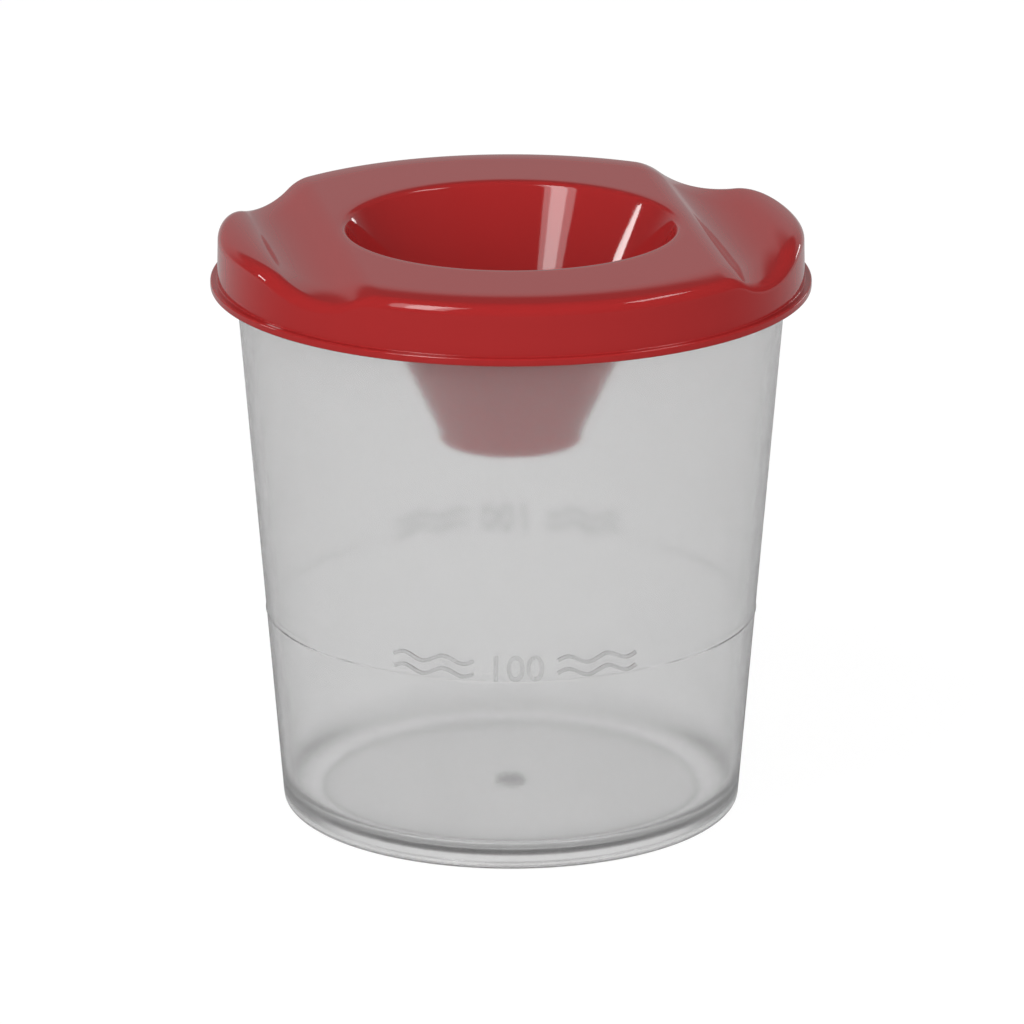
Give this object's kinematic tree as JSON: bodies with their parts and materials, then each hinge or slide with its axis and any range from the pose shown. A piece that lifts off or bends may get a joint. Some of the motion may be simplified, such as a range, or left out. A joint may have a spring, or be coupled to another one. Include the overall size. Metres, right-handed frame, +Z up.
{
  "type": "paint cup",
  "caption": "Tapered see-through cup for rinse water, with a press-on lid that has a funnel mouth and two brush channels, so that it does not spill when it tips over.",
  "frame": {"origin": "on the surface it stands on, under the middle of the cup", "axes": "+Z up the cup's axis; the two brush channels in the lid run along Y"},
  "size_m": [0.09, 0.09, 0.09],
  "materials": {
    "cup": "frosted see-through polypropylene",
    "lid": "glossy moulded red plastic"
  },
  "bodies": {
    "cup_body": {"cup": "cup"},
    "lid_body": {"lid": "lid"}
  },
  "joints": [
    {"name": "lid_lift", "type": "slide", "parent": "cup_body", "child": "lid_body", "axis": [0, 0, 1], "range_m": [0, 0.05]}
  ]
}
